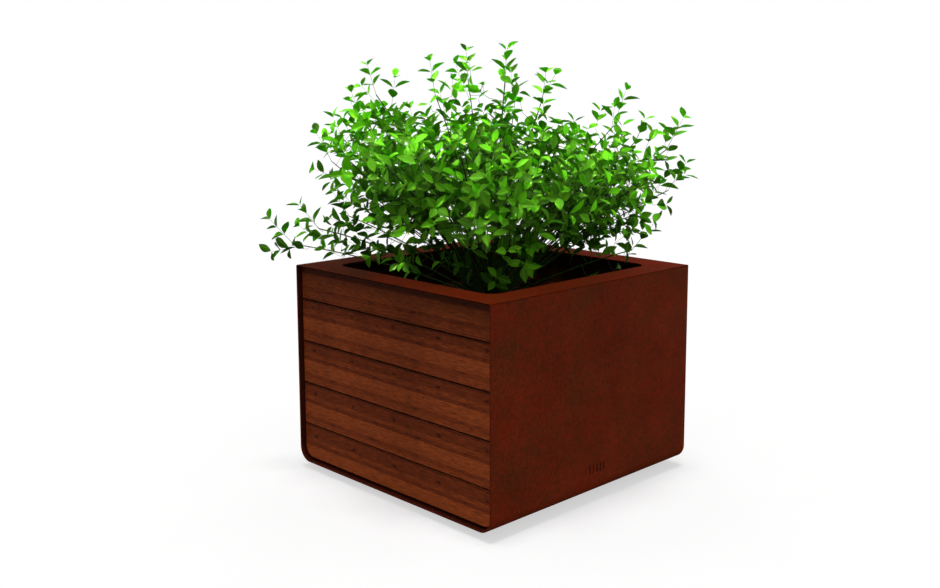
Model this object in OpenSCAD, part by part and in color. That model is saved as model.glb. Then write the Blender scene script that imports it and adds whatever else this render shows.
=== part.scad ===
// Square planter box in weathering steel with wooden boards on its front and back,
// filled and planted with a leafy shrub, on four levelling feet.
// The origin is on the floor under the middle of the box. The boards face -Y and +Y.

/* [Shell] */
// Width and depth of the square box
box_w = 900; // [800:10:1100]
// Height of the shell, from its underside to the top of the rim
shell_h = 653; // [650:1:700]
// Thickness of the folded plate
plate_t = 6; // [5:1:8]
// Outer radius of the two bends at the bottom
bend_r = 47; // [40:1:55]
// Height of the shell's underside above the floor
floor_gap = 22; // [21:1:30]

/* [Rim] */
// Thickness of the rim plate
rim_t = 3; // [2:0.5:4]
// Width of the rim, from the outer edge to the opening
rim_w = 93; // [85:1:100]
// Corner radius of the opening
opening_r = 47; // [30:1:60]

/* [Boards] */
// Number of boards on each side
board_count = 5; // [5:1:5]
// Thickness of a board
board_t = 20; // [18:1:22]
// Depth of the boards' faces behind the edge of the shell
board_recess = 16; // [12:1:20]
// Gap between a board's end and the shell wall
board_end_gap = 4; // [3:1:6]
// Gap between two boards
board_seam = 4; // [3:0.5:5]
// Height of a middle board
board_h = 135; // [130:0.5:136]
// Height of the lowest board, where the highest one takes what is left
low_board_h = 110; // [105:0.5:112]
// Gap under the lowest board
board_low_gap = 6.5; // [4:0.5:8]
// Gap over the highest board
board_high_gap = 2; // [1.5:0.5:4]
// Corner radius of the lowest board, which follows the bend
board_bend_r = 36; // [30:1:40]

/* [Inside] */
// Thickness of the end panels
panel_t = 3; // [2:0.5:4]
// Thickness of the rails
rail_t = 10; // [8:1:12]
// Width of the rails
rail_w = 40; // [30:5:50]
// Distance of the outer rails from the middle
rail_x = 380; // [360:5:390]
// Outer width of the liner tub
tub_w = 770; // [740:5:776]
// Thickness of the tub's sheet
tub_t = 2; // [1:0.5:3]
// Depth of the tub's top edge below the top of the rim
tub_drop = 20; // [15:1:30]
// Height of the bearers under the tub
bearer_h = 50; // [45:1:60]
// Distance of a bearer from the middle
bearer_x = 150; // [130:5:170]

/* [Filling] */
// Depth of the gravel
gravel_h = 50; // [30:5:80]
// Thickness of the filter fleece
fleece_t = 2; // [1:0.5:3]
// Depth of the soil's surface below the top of the rim
soil_drop = 115; // [100:5:140]

/* [Shrub] */
// Half the width of the crown
crown_reach = 600; // [560:10:640]
// Height of the crown's top above the rim
crown_rise = 723; // [650:1:800]
// Radius of one leaf cluster
cluster_r = 60; // [45:1:65]
// Radius of a stem at its foot
stem_r = 4; // [3:0.5:4.5]

/* [Feet] */
// Distance of a foot from the middle, along each side
foot_x = 275; // [270:5:290]
// Radius of a pad
pad_r = 35; // [30:1:40]
// Radius of the spindle's thread
spindle_r = 6; // [6:1:8]
// Running clearance of the spindle in the boss and in the pad
run_gap = 0.05; // [0.02:0.01:0.09]

/* [Hidden] */
$fn = 48;
half = box_w / 2;
shell_z0 = floor_gap;
shell_z1 = floor_gap + shell_h;
floor_z = shell_z0 + plate_t;
wall_x = half - plate_t;
rim_z0 = shell_z1 - rim_t;
opening_w = box_w - 2 * rim_w;
inner_bend_r = bend_r - plate_t;

board_x = wall_x - board_end_gap;
board_face_y = half - board_recess;
board_back_y = board_face_y - board_t;
board_pitch = board_h + board_seam;
boards_z0 = floor_z + board_low_gap;
boards_z1 = rim_z0 - board_high_gap;
seam_z0 = boards_z0 + low_board_h;
low_seam_z = seam_z0 + board_seam / 2;
high_seam_z = low_seam_z + (board_count - 2) * board_pitch;

rail_back_y = board_back_y - rail_t;
rail_z0 = floor_z + 12;
rail_z1 = rim_z0 - 12;
panel_y = rail_back_y - panel_t;
panel_cut = inner_bend_r + 4;

screw_r = 2.5;
screw_gap = 0.1;
screw_bite = 14;
screw_head_r = 5;
screw_head_t = 2.5;
screw_rise = 30;
bolt_r = 4;
bolt_head_r = 7;
hole_more = 0.5;

tub_z0 = floor_z + bearer_h;
tub_z1 = shell_z1 - tub_drop;
tub_r = 20;
tub_flange = 10;
bearer_w = 60;
bearer_t = 3;
bearer_l = 740;
anchor_x = 330;
anchor_y = 200;
anchor_r = 7;

spout_y = 250;
spout_r = 12;
spout_bore_r = 8;
spout_flange_r = 20;
spout_flange_t = 3;
spout_z0 = shell_z0 - 5;

gravel_z0 = tub_z0 + tub_t;
gravel_z1 = gravel_z0 + gravel_h;
soil_z0 = gravel_z1 + fleece_t;
soil_z1 = shell_z1 - soil_drop;
fill_w = tub_w - 2 * tub_t;
ball_r = 150;
ball_foot_r = 125;
ball_h = 250;
ball_gap = 0.2;
ball_z1 = soil_z1 + 2;
collar_r = 84;
collar_h = 10;

stem_z0 = ball_z1 + collar_h + 4;
crown_axis_x = crown_reach - cluster_r;
crown_axis_z = shell_z1 + crown_rise - cluster_r - stem_z0;
// One ring of shoots in each row: lean from upright, shoots, turn of the ring, foot radius, reach
RINGS = [
    [0, 1, 0, 0, 1],
    [20, 6, 15, 13, 0.99],
    [38, 8, 40, 26, 0.96],
    [55, 10, 5, 43, 0.93],
    [74, 12, 0, 70, 1.04]
];

pad_h = 10;
pad_sole_t = 3;
pad_top_r = 14;
pad_z1 = 17;
spindle_z0 = 6.3;
spindle_z1 = tub_z0 - 4;
socket_z0 = 6;
hex_r = 11;
hex_z0 = pad_z1 + 1;
hex_z1 = shell_z0 - 0.3;
boss_r = 16;
boss_h = 20;

mark_z = shell_z0 + 84;
mark_slots = 5;
mark_pitch = 16;
mark_w = 5;
mark_h = 26;
mark_depth = 1;

// [x side, y side] of each foot, by its number
FOOT_SIDES = [[1, -1], [1, 1], [-1, 1], [-1, -1]];

STEEL = [0.36, 0.14, 0.08];
WOOD = [0.42, 0.20, 0.12];
DARK = [0.10, 0.09, 0.08];
ZINC = [0.62, 0.64, 0.66];

// A square with round corners, w wide and centred
module round_square(w, r) {
    square([w - 2 * r, w], center = true);
    square([w, w - 2 * r], center = true);
    for (x = [-1, 1], y = [-1, 1])
        translate([x * (w / 2 - r), y * (w / 2 - r)]) circle(r);
}

// The outline of the shell seen from the front, with its wall surfaces x from the middle,
// its underside at z0 and its two lower corners of radius r
module u_outline(x, z0, z1, r) {
    translate([-x, z0 + r]) square([2 * x, z1 - z0 - r]);
    translate([-x + r, z0]) square([2 * (x - r), r + 1]);
    for (side = [-1, 1]) translate([side * (x - r), z0 + r]) circle(r, $fn = 96);
}

// Draws its children once for the front, or turned half round for the back
module on_side(back) {
    rotate([0, 0, back ? 180 : 0]) children();
}

// A cylinder along Y from y0 to y1, with its middle at x and z
module y_cylinder(x, z, r, y0, y1) {
    translate([x, y0, z]) rotate([-90, 0, 0]) cylinder(r = r, h = y1 - y0);
}

function board_z0(i) = i == 1 ? boards_z0 : seam_z0 + board_seam + (i - 2) * board_pitch;
function board_z1(i) = i == board_count ? boards_z1 : seam_z0 + (i - 1) * board_pitch;
function board_mid(i) = (board_z0(i) + board_z1(i)) / 2;

module each_board_screw() {
    for (x = [-rail_x, 0, rail_x], i = [1:board_count], side = [-1, 1])
        let (z = board_mid(i) + side * screw_rise) {
            $screw_x = x;
            $screw_z = z;
            children();
        }
}

module shell() {
    color(STEEL) difference() {
        rotate([90, 0, 0]) linear_extrude(box_w, center = true) difference() {
            u_outline(half, shell_z0, rim_z0, bend_r);
            u_outline(wall_x, floor_z, rim_z0 + 1, inner_bend_r);
        }
        for (s = FOOT_SIDES) translate([s[0] * foot_x, s[1] * foot_x, shell_z0 - 1])
            cylinder(r = spindle_r + 2, h = plate_t + 2);
        for (x = [-1, 1], y = [-1, 1]) translate([x * anchor_x, y * anchor_y, shell_z0 - 1])
            cylinder(r = anchor_r, h = plate_t + 2);
        for (y = [-1, 1]) translate([0, y * spout_y, shell_z0 - 1])
            cylinder(r = spout_r + hole_more, h = plate_t + 2);
        for (i = [1:mark_slots])
            translate([half - mark_depth, (i - (mark_slots + 1) / 2) * mark_pitch - mark_w / 2, mark_z - mark_h / 2])
                cube([mark_depth + 1, mark_w, mark_h]);
    }
}

module top_rim() {
    color(STEEL) translate([0, 0, rim_z0]) linear_extrude(rim_t) difference() {
        square(box_w, center = true);
        round_square(opening_w, opening_r);
    }
}

module end_panel(back) {
    color(STEEL) on_side(back) difference() {
        translate([0, -panel_y, 0]) rotate([90, 0, 0]) linear_extrude(panel_t) polygon([
            [-wall_x, rim_z0], [-wall_x, floor_z + panel_cut], [-wall_x + panel_cut, floor_z],
            [wall_x - panel_cut, floor_z], [wall_x, floor_z + panel_cut], [wall_x, rim_z0]
        ]);
        each_board_screw()
            y_cylinder($screw_x, $screw_z, screw_r + screw_gap, -panel_y - panel_t - 1, -panel_y + 1);
        each_rail_bolt()
            y_cylinder($bolt_x, $bolt_z, bolt_r + hole_more, -panel_y - panel_t - 1, -panel_y + 1);
    }
}

module each_rail_bolt() {
    for (x = [-rail_x, 0, rail_x], z = [low_seam_z, high_seam_z]) {
        $bolt_x = x;
        $bolt_z = z;
        children();
    }
}

module rail(back, x) {
    color(DARK) on_side(back) difference() {
        translate([x - rail_w / 2, -board_back_y, rail_z0]) cube([rail_w, rail_t, rail_z1 - rail_z0]);
        for (i = [1:board_count], side = [-1, 1])
            y_cylinder(x, board_mid(i) + side * screw_rise, screw_r + screw_gap, -board_back_y - 1, -rail_back_y + 1);
        for (z = [low_seam_z, high_seam_z])
            y_cylinder(x, z, bolt_r + screw_gap, -board_back_y - 1, -rail_back_y + 1);
    }
}

// The face of board i, before it is drilled
module board_face(i) {
    if (i == 1)
        intersection() {
            u_outline(board_x, boards_z0, board_z1(1) + 1, board_bend_r);
            translate([-board_x, boards_z0]) square([2 * board_x, board_z1(1) - boards_z0]);
        }
    else
        translate([-board_x, board_z0(i)]) square([2 * board_x, board_z1(i) - board_z0(i)]);
}

module board(back, i) {
    color(WOOD) on_side(back) difference() {
        translate([0, -board_back_y, 0]) rotate([90, 0, 0]) linear_extrude(board_t) board_face(i);
        for (x = [-rail_x, 0, rail_x], side = [-1, 1])
            y_cylinder(x, board_mid(i) + side * screw_rise, screw_r + screw_gap,
                -board_back_y - screw_bite - 0.5, -board_back_y + 1);
    }
}

module board_screws(back) {
    color(ZINC) on_side(back) each_board_screw() {
        y_cylinder($screw_x, $screw_z, screw_r, -board_back_y - screw_bite, -panel_y + 0.5);
        y_cylinder($screw_x, $screw_z, screw_head_r, -panel_y, -panel_y + screw_head_t);
    }
}

module rail_bolts() {
    color(ZINC) for (back = [false, true]) on_side(back) each_rail_bolt() {
        y_cylinder($bolt_x, $bolt_z, bolt_r, -board_back_y + 0.5, -panel_y + 0.5);
        y_cylinder($bolt_x, $bolt_z, bolt_head_r, -panel_y, -panel_y + screw_head_t);
    }
}

module bearer(side) {
    color(DARK) translate([side * bearer_x, 0, floor_z]) rotate([90, 0, 0])
        linear_extrude(bearer_l, center = true) difference() {
            translate([-bearer_w / 2, 0]) square([bearer_w, bearer_h]);
            translate([-bearer_w / 2 + bearer_t, bearer_t])
                square([bearer_w - 2 * bearer_t, bearer_h - 2 * bearer_t]);
        }
}

module liner_tub() {
    color(DARK) difference() {
        union() {
            translate([0, 0, tub_z0]) linear_extrude(tub_z1 - tub_z0) round_square(tub_w, tub_r);
            translate([0, 0, tub_z1 - tub_t]) linear_extrude(tub_t)
                round_square(tub_w + 2 * tub_flange, tub_r + tub_flange);
        }
        translate([0, 0, tub_z0 + tub_t]) linear_extrude(tub_z1) round_square(fill_w, tub_r - tub_t);
        for (y = [-1, 1]) translate([0, y * spout_y, tub_z0 - 1])
            cylinder(r = spout_r + screw_gap, h = tub_t + 2);
    }
}

module drain_spouts() {
    color(DARK) for (y = [-1, 1]) translate([0, y * spout_y, 0]) difference() {
        union() {
            translate([0, 0, spout_z0]) cylinder(r = spout_r, h = gravel_z0 - spout_z0 + 1);
            translate([0, 0, gravel_z0]) cylinder(r = spout_flange_r, h = spout_flange_t);
        }
        translate([0, 0, spout_z0 - 1]) cylinder(r = spout_bore_r, h = tub_z0);
    }
}

module drainage_gravel() {
    color([0.55, 0.50, 0.45]) difference() {
        translate([0, 0, gravel_z0]) linear_extrude(gravel_h) round_square(fill_w, tub_r - tub_t);
        for (y = [-1, 1]) translate([0, y * spout_y, gravel_z0 - 1])
            cylinder(r = spout_flange_r + hole_more, h = spout_flange_t + 1 + hole_more);
    }
}

module filter_fleece() {
    color("whitesmoke") translate([0, 0, gravel_z1]) linear_extrude(fleece_t)
        round_square(fill_w, tub_r - tub_t);
}

// The root ball's outline, turned about Z, larger all round by more
module ball_solid(more) {
    translate([0, 0, ball_z1 - ball_h - more])
        cylinder(r1 = ball_foot_r + more, r2 = ball_r + more, h = ball_h + 2 * more);
}

module soil() {
    color([0.14, 0.09, 0.06]) difference() {
        translate([0, 0, soil_z0]) linear_extrude(soil_z1 - soil_z0) round_square(fill_w, tub_r - tub_t);
        ball_solid(ball_gap);
    }
}

module root_ball() {
    color([0.20, 0.14, 0.10]) ball_solid(0);
}

module root_collar() {
    color([0.12, 0.16, 0.06]) translate([0, 0, ball_z1]) cylinder(r = collar_r, h = collar_h);
}

// Foot and tip of shoot k in ring g
function shoot_turn(g, k) = g[2] + k * 360 / g[1];
function shoot_foot(g, k) = [
    g[3] * cos(shoot_turn(g, k)),
    g[3] * sin(shoot_turn(g, k)),
    stem_z0
];
function shoot_tip(g, k) = [
    min(crown_axis_x, crown_axis_x * g[4] * sin(g[0])) * cos(shoot_turn(g, k)),
    min(crown_axis_x, crown_axis_x * g[4] * sin(g[0])) * sin(shoot_turn(g, k)),
    stem_z0 + crown_axis_z * cos(g[0]) * (g[0] == 0 ? 1 : 0.9)
];

// A slim cone from point a to point b
module shoot(a, b) {
    d = b - a;
    turn = atan2(d[1], d[0]);
    lean = acos(d[2] / norm(d));
    translate(a) rotate([0, lean, turn]) cylinder(r1 = stem_r, r2 = stem_r / 2, h = norm(d));
}

module shrub_stems() {
    color([0.16, 0.26, 0.08]) for (g = RINGS, k = [0:g[1] - 1]) shoot(shoot_foot(g, k), shoot_tip(g, k));
}

module shrub_leaves() {
    color([0.30, 0.56, 0.14]) for (g = RINGS, k = [0:g[1] - 1]) translate(shoot_tip(g, k)) sphere(cluster_r);
}

// Puts its children under corner number i
module at_foot(i) {
    translate([FOOT_SIDES[i - 1][0] * foot_x, FOOT_SIDES[i - 1][1] * foot_x, 0]) children();
}

module foot_boss(i) {
    color(ZINC) at_foot(i) translate([0, 0, floor_z]) difference() {
        cylinder(r = boss_r, h = boss_h);
        translate([0, 0, -1]) cylinder(r = spindle_r + run_gap, h = boss_h + 2);
    }
}

module foot_spindle(i) {
    color(ZINC) at_foot(i) {
        translate([0, 0, spindle_z0]) cylinder(r = spindle_r, h = spindle_z1 - spindle_z0);
        translate([0, 0, hex_z0]) cylinder(r = hex_r, h = hex_z1 - hex_z0, $fn = 6);
    }
}

module foot_pad(i) {
    color(DARK) at_foot(i) difference() {
        union() {
            cylinder(r = pad_r, h = pad_h);
            translate([0, 0, pad_h]) cylinder(r = pad_top_r, h = pad_z1 - pad_h);
        }
        translate([0, 0, socket_z0]) cylinder(r = spindle_r + run_gap, h = pad_z1);
    }
}

shell();
top_rim();
end_panel(false);  // front_end_panel
end_panel(true);  // back_end_panel
rail(false, -rail_x);  // front_rail_left
rail(false, 0);  // front_rail_middle
rail(false, rail_x);  // front_rail_right
rail(true, -rail_x);  // back_rail_left
rail(true, 0);  // back_rail_middle
rail(true, rail_x);  // back_rail_right
for (i = [1:board_count]) board(false, i);
for (i = [1:board_count]) board(true, i);
board_screws(false);  // front_board_screws
board_screws(true);  // back_board_screws
rail_bolts();
bearer(-1);  // bearer_left
bearer(1);  // bearer_right
liner_tub();
drain_spouts();
drainage_gravel();
filter_fleece();
soil();
root_ball();
root_collar();
shrub_stems();
shrub_leaves();
for (i = [1:4]) foot_boss(i);
for (i = [1:4]) foot_spindle(i);
for (i = [1:4]) foot_pad(i);
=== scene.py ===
"""Looks of the planter box: weathering steel, bamboo boards, soil and a leafy shrub."""
import math
import random
from contextlib import contextmanager

import bmesh
import bpy
import numpy as np
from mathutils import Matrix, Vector


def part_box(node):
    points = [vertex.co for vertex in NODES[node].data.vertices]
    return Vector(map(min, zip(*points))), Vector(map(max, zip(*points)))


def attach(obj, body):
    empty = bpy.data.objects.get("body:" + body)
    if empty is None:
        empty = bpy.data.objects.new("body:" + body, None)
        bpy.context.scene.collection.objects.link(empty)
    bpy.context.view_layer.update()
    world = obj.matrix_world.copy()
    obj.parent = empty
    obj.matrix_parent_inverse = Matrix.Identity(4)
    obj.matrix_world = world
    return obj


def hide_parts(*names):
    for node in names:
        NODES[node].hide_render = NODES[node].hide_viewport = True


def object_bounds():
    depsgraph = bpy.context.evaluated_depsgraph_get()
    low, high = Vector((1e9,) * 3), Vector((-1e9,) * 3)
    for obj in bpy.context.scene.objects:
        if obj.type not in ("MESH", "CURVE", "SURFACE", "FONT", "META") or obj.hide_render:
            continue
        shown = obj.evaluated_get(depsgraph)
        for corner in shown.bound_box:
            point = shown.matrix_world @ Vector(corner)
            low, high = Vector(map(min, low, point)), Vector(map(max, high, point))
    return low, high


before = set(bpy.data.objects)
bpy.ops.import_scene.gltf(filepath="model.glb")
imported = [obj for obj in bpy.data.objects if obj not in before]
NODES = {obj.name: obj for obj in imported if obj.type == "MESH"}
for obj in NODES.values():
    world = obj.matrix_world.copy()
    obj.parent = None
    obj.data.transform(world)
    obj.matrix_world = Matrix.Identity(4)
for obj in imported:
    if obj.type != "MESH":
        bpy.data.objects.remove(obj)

CAD_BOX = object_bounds()
MM = 0.001

SHELL_LO, SHELL_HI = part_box("shell")
RIM_LO, RIM_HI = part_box("top_rim")
SOIL_LO, SOIL_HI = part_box("soil")
COLLAR_LO, COLLAR_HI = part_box("root_collar")
FLEECE_LO, FLEECE_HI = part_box("filter_fleece")

HALF = SHELL_HI.x
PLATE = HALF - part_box("front_end_panel")[1].x
BEND_R = 47 * MM
RIM_W = 93 * MM
OPENING = HALF - RIM_W
OPENING_R = 47 * MM
BOARD_COUNT = 5
BOARD_BEND_R = 36 * MM

# The shell's holes for the spindles, the ground anchors and the drain spouts
SPINDLE_HOLE_R = 8 * MM
ANCHOR_HOLE_R, ANCHOR_X, ANCHOR_Y = 7 * MM, 330 * MM, 200 * MM
SPOUT_HOLE_R, SPOUT_Y = 12.5 * MM, 250 * MM
# Corner radius of the soil and the fleece inside the liner
FILL_CORNER_R = 18 * MM

BAMBOO_LIGHT, BAMBOO_MIDDLE = (0.15, 0.0305, 0.007), (0.09, 0.0166, 0.004)
BAMBOO_DARK, BAMBOO_MARK = (0.052, 0.0088, 0.0023), (0.015, 0.0026, 0.0012)

LEAF_RIB, LEAF_VEIN = (0.18, 0.52, 0.02), (0.12, 0.42, 0.012)
LEAF_UNDER, LEAF_GLOW = (0.11, 0.4, 0.012), (0.2, 0.72, 0.004)

# Painted reflection and light on the rim, as colour factors from the left corner of the box, 0, to the
# right one, 1
RIM_PAINTED_LIGHT = [(0.0, (0.8, 0.9, 0.92)), (0.16, (0.51, 0.92, 1.3)), (0.24, (0.76, 0.82, 0.85)),
             (0.36, (1.06, 1.1, 1.0)), (0.5, (1.13, 1.22, 1.05)), (0.64, (1.0, 1.04, 0.9)),
             (0.8, (1.22, 1.13, 1.02)), (1.0, (1.38, 1.12, 1.0))]
# Painted shade on the shell's floor, as greys from under the boards' faces, 0, to the cut edge, 1
FLOOR_PAINTED_SHADE = [(0.0, 0.22), (0.3, 0.54), (0.8, 0.9)]

# Directions of the photograph's view: across it to the right, and away from the camera
ACROSS = Vector((1, 1, 0)).normalized()
AWAY = Vector((-1, 1, 0)).normalized()
UP = Vector((0, 0, 1))


# -------------------- node helpers

def new_material(name):
    """A material and its Principled node."""
    mat = bpy.data.materials.new(name)
    mat.use_nodes = True
    return mat, mat.node_tree.nodes["Principled BSDF"]


def add(mat, kind, inputs=(), **settings):
    """A shader node of a kind, with some settings and inputs given. An input's value may be a socket."""
    node = mat.node_tree.nodes.new("ShaderNode" + kind)
    for key, value in settings.items():
        setattr(node, key, value)
    for key, value in dict(inputs).items():
        give(mat, node.inputs[key], value)
    return node


def give(mat, socket, value):
    """Links a socket to the input, or sets the input's value."""
    if isinstance(value, bpy.types.NodeSocket):
        mat.node_tree.links.new(value, socket)
    else:
        socket.default_value = value


def place(mat, stretch=(1, 1, 1), shift=(0, 0, 0)):
    """Object coordinates in metres, stretched and shifted."""
    where = add(mat, "TexCoord").outputs["Object"]
    return add(mat, "Mapping", {"Vector": where, "Scale": stretch, "Location": shift}).outputs["Vector"]


def noise(mat, scale, detail, rough, stretch=(1, 1, 1), shift=(0, 0, 0)):
    """Noise in object coordinates that are stretched and shifted first."""
    look = {"Vector": place(mat, stretch, shift), "Scale": scale, "Detail": detail, "Roughness": rough}
    return add(mat, "TexNoise", look).outputs["Fac"]


def position(mat):
    """The object coordinates X, Y and Z in metres, each by its name."""
    return add(mat, "SeparateXYZ", {"Vector": place(mat)}).outputs


def ramp(mat, fac, *stops, constant=False):
    """A colour ramp of (place, colour or grey) stops."""
    node = add(mat, "ValToRGB", {"Fac": fac})
    band = node.color_ramp
    band.interpolation = "CONSTANT" if constant else "LINEAR"
    while len(band.elements) < len(stops):
        band.elements.new(0.5)
    for element, (where, colour) in zip(band.elements, stops):
        element.position = where
        element.color = value_or_colour(colour)
    return node.outputs["Color"]


def mix(mat, fac, a, b, how="MIX"):
    """Colour a mixed with colour b."""
    node = add(mat, "Mix", data_type="RGBA", blend_type=how)
    give(mat, node.inputs["Factor"], fac)
    colour_a, colour_b = [s for s in node.inputs if s.type == "RGBA"]
    give(mat, colour_a, value_or_colour(a))
    give(mat, colour_b, value_or_colour(b))
    return [s for s in node.outputs if s.type == "RGBA"][0]


def value_or_colour(value):
    """A socket as it is, and a grey or a colour as four numbers."""
    if isinstance(value, bpy.types.NodeSocket):
        return value
    return (value, value, value, 1) if isinstance(value, (int, float)) else (*value, 1)


def maths(mat, how, a, b=0.0):
    """The result of a sum with two values or sockets."""
    return add(mat, "Math", {0: a, 1: b}, operation=how).outputs["Value"]


def plus(mat, a, b):
    return maths(mat, "ADD", a, b)


def minus(mat, a, b):
    return maths(mat, "SUBTRACT", a, b)


def times(mat, a, b):
    return maths(mat, "MULTIPLY", a, b)


def over(mat, a, b):
    return maths(mat, "DIVIDE", a, b)


def swing(mat, value, size):
    """A noise round 0.5, moved to lie round 0 and scaled to a size."""
    return times(mat, minus(mat, value, 0.5), size)


def tint(mat, colour, by, fac=1.0):
    """A colour multiplied by another one, or by a grey."""
    return mix(mat, fac, colour, by, "MULTIPLY")


def coat(mat, shader, colour, rough, shine):
    """Sets the shader's colour, roughness and shine."""
    give(mat, shader.inputs["Base Color"], colour)
    give(mat, shader.inputs["Roughness"], rough)
    shader.inputs["Specular IOR Level"].default_value = shine


def bump(mat, shader, height, strength, distance):
    """Gives the shader a bumpy surface."""
    node = add(mat, "Bump", {"Height": height, "Strength": strength, "Distance": distance})
    give(mat, shader.inputs["Normal"], node.outputs["Normal"])


# -------------------- materials

def rim_painted_light(mat, clouds):
    """Painted reflection and light on the rim from the left corner of the box to the right one, a little
    wavy.
    """
    at = position(mat)
    across = plus(mat, over(mat, plus(mat, at["X"], at["Y"]), 4 * HALF), 0.5)
    return ramp(mat, plus(mat, across, swing(mat, clouds, 0.2)), *RIM_PAINTED_LIGHT)


def floor_painted_shade(mat, clouds):
    """Painted shade: the shell's floor is darkest beside the boards and lighter towards its cut edge."""
    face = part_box("back_board_3")[1].y
    out = minus(mat, maths(mat, "ABSOLUTE", position(mat)["Y"]), face)
    out = plus(mat, over(mat, out, HALF - face), times(mat, clouds, 0.05))
    return ramp(mat, out, *FLOOR_PAINTED_SHADE)


def steel_material(name, base, spread=1.0, veil=0.03, tones=None):
    """Weathering steel: a matt rust skin with soft red and brown clouds, dark stains and fine grain, with
    painted light and shade from tones where it is given.
    """
    mat, shader = new_material(name)
    red = noise(mat, 7.0, 7, 0.62)
    brown = noise(mat, 5.0, 6, 0.6, shift=(4, 9, 2))
    stains = noise(mat, 4.0, 8, 0.62, (1, 1, 0.7), (9, 4, 2))
    speckle = noise(mat, 85, 3, 0.65, shift=(1, 3, 8))
    scale = noise(mat, 34, 4, 0.7, shift=(7, 5, 8))
    grain = noise(mat, 520, 3, 0.7)
    fine_red = noise(mat, 130, 4, 0.75, shift=(2, 6, 5))
    fine_brown = noise(mat, 130, 4, 0.75, shift=(8, 1, 3))
    low = (base[0] * (1 - 0.26 * spread), base[1], base[2])
    high = (base[0] * (1 + 0.3 * spread), base[1] * 0.97, base[2] * 0.95)
    colour = mix(mat, ramp(mat, red, (0.3, 0.0), (0.7, 1.0)), low, high)
    dull = mix(mat, ramp(mat, brown, (0.32, 0.0), (0.68, 1.0)), (1.0, 0.84, 0.78), (1.0, 1.2, 1.34))
    colour = tint(mat, colour, dull, spread)
    spots = times(mat, ramp(mat, stains, (0.56, 0.0), (0.74, 0.85)),
                  ramp(mat, speckle, (0.35, 0.45), (0.65, 1.0)))
    colour = mix(mat, times(mat, spots, spread), colour, [c * 0.52 for c in base])
    flakes = ramp(mat, scale, (0.66, 0.0), (0.74, 0.32))
    colour = mix(mat, times(mat, flakes, spread), colour,
                 (base[0] * 1.15, base[1] * 2.2, base[2] * 4.0))
    for cause, least, most in ((speckle, 0.86, 1.14), (fine_red, (0.45, 1, 1), (1.55, 1, 1)),
                               (fine_brown, (1, 0.74, 0.1), (1, 1.26, 1.9)), (grain, 0.9, 1.1)):
        colour = tint(mat, colour, ramp(mat, cause, (0.3, least), (0.7, most)))
    # The rim's painted reflection and light and the floor's painted shade are multiplied in here.
    if tones:
        colour = tint(mat, colour, tones(mat, red))
    coat(mat, shader, colour, ramp(mat, speckle, (0.3, 0.62), (0.7, 0.82)), veil)
    bump(mat, shader, plus(mat, times(mat, grain, 0.5), times(mat, speckle, 1.4)), 0.3, 0.5 * MM)
    return mat


# Strips of the bamboo boards from the top of one repeat down, as shares of its height:
# (where it starts, tone, where its nodes come along X, how dark they are, where they sit,
#  how tall they are, how long they are)
REPEAT_HIGH, REPEAT_LONG = 143.6 * MM, 200 * MM
REPEAT_TOP, REPEAT_LEFT = 564 * MM, -440 * MM
# Length of a node of length 1, as a share of the repeat's length
NODE_LENGTH = 0.16
STRIPS = [
    (0.000, 0.27, 0.86, 0.20, 0.050, 0.030, 0.40),
    (0.097, 0.24, 0.31, 1.0, 0.155, 0.045, 0.42),
    (0.223, 0.52, 0.22, 0.12, 0.270, 0.050, 0.30),
    (0.320, 0.25, 0.87, 0.75, 0.355, 0.032, 0.50),
    (0.404, 0.82, 0.42, 0.10, 0.490, 0.080, 0.35),
    (0.585, 0.74, 0.61, 0.16, 0.655, 0.050, 0.30),
    (0.703, 0.42, 0.80, 0.62, 0.745, 0.028, 0.85),
    (0.794, 0.58, 0.56, 0.55, 0.845, 0.030, 0.22),
    (0.926, 0.30, 0.06, 0.15, 0.960, 0.030, 0.40),
]


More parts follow.
